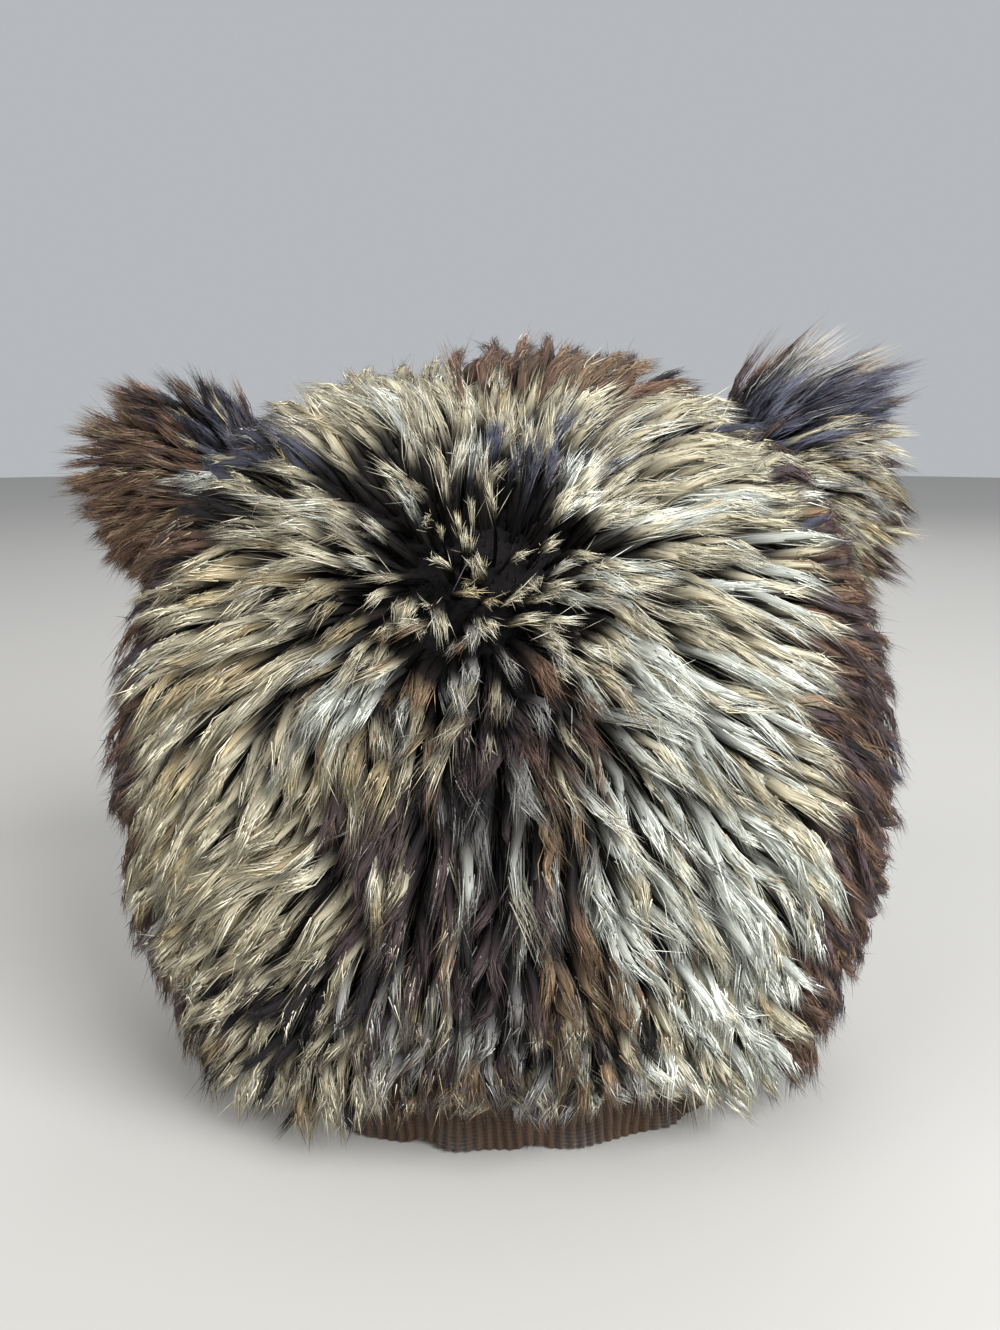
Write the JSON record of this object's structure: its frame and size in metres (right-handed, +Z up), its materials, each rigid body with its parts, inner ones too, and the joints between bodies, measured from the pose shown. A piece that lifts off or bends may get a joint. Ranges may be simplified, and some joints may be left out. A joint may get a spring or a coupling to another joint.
{
  "type": "bear ear hat",
  "caption": "Soft dome-shaped winter hat of long mottled fake fur with two bear ears on its shoulders and a rib-knit band round the opening, standing on its rim",
  "frame": {"origin": "on the floor, under the middle of the hat's box as it stands on its knit band", "axes": "+Z is up, -Y is the way the wearer faces, +X is the wearer's left"},
  "size_m": [0.2825, 0.2403, 0.2243],
  "materials": {
    "backing_cloth": "matt knitted backing of the fur cloth, dark brown",
    "crown_pile": "long soft pile, cream tips over dark roots in front, dark brown behind",
    "left_ear_pile": "long soft pile, dark grey above and cream below",
    "right_ear_pile": "long soft pile, brown with a dark grey inner edge",
    "rib_knit": "matt rib-knit yarn, tan brown"
  },
  "bodies": {
    "root": {"crown": "backing_cloth", "crown_fur": "crown_pile", "ear_left": "left_ear_pile", "ear_right": "right_ear_pile", "knit_band": "rib_knit"}
  },
  "joints": []
}
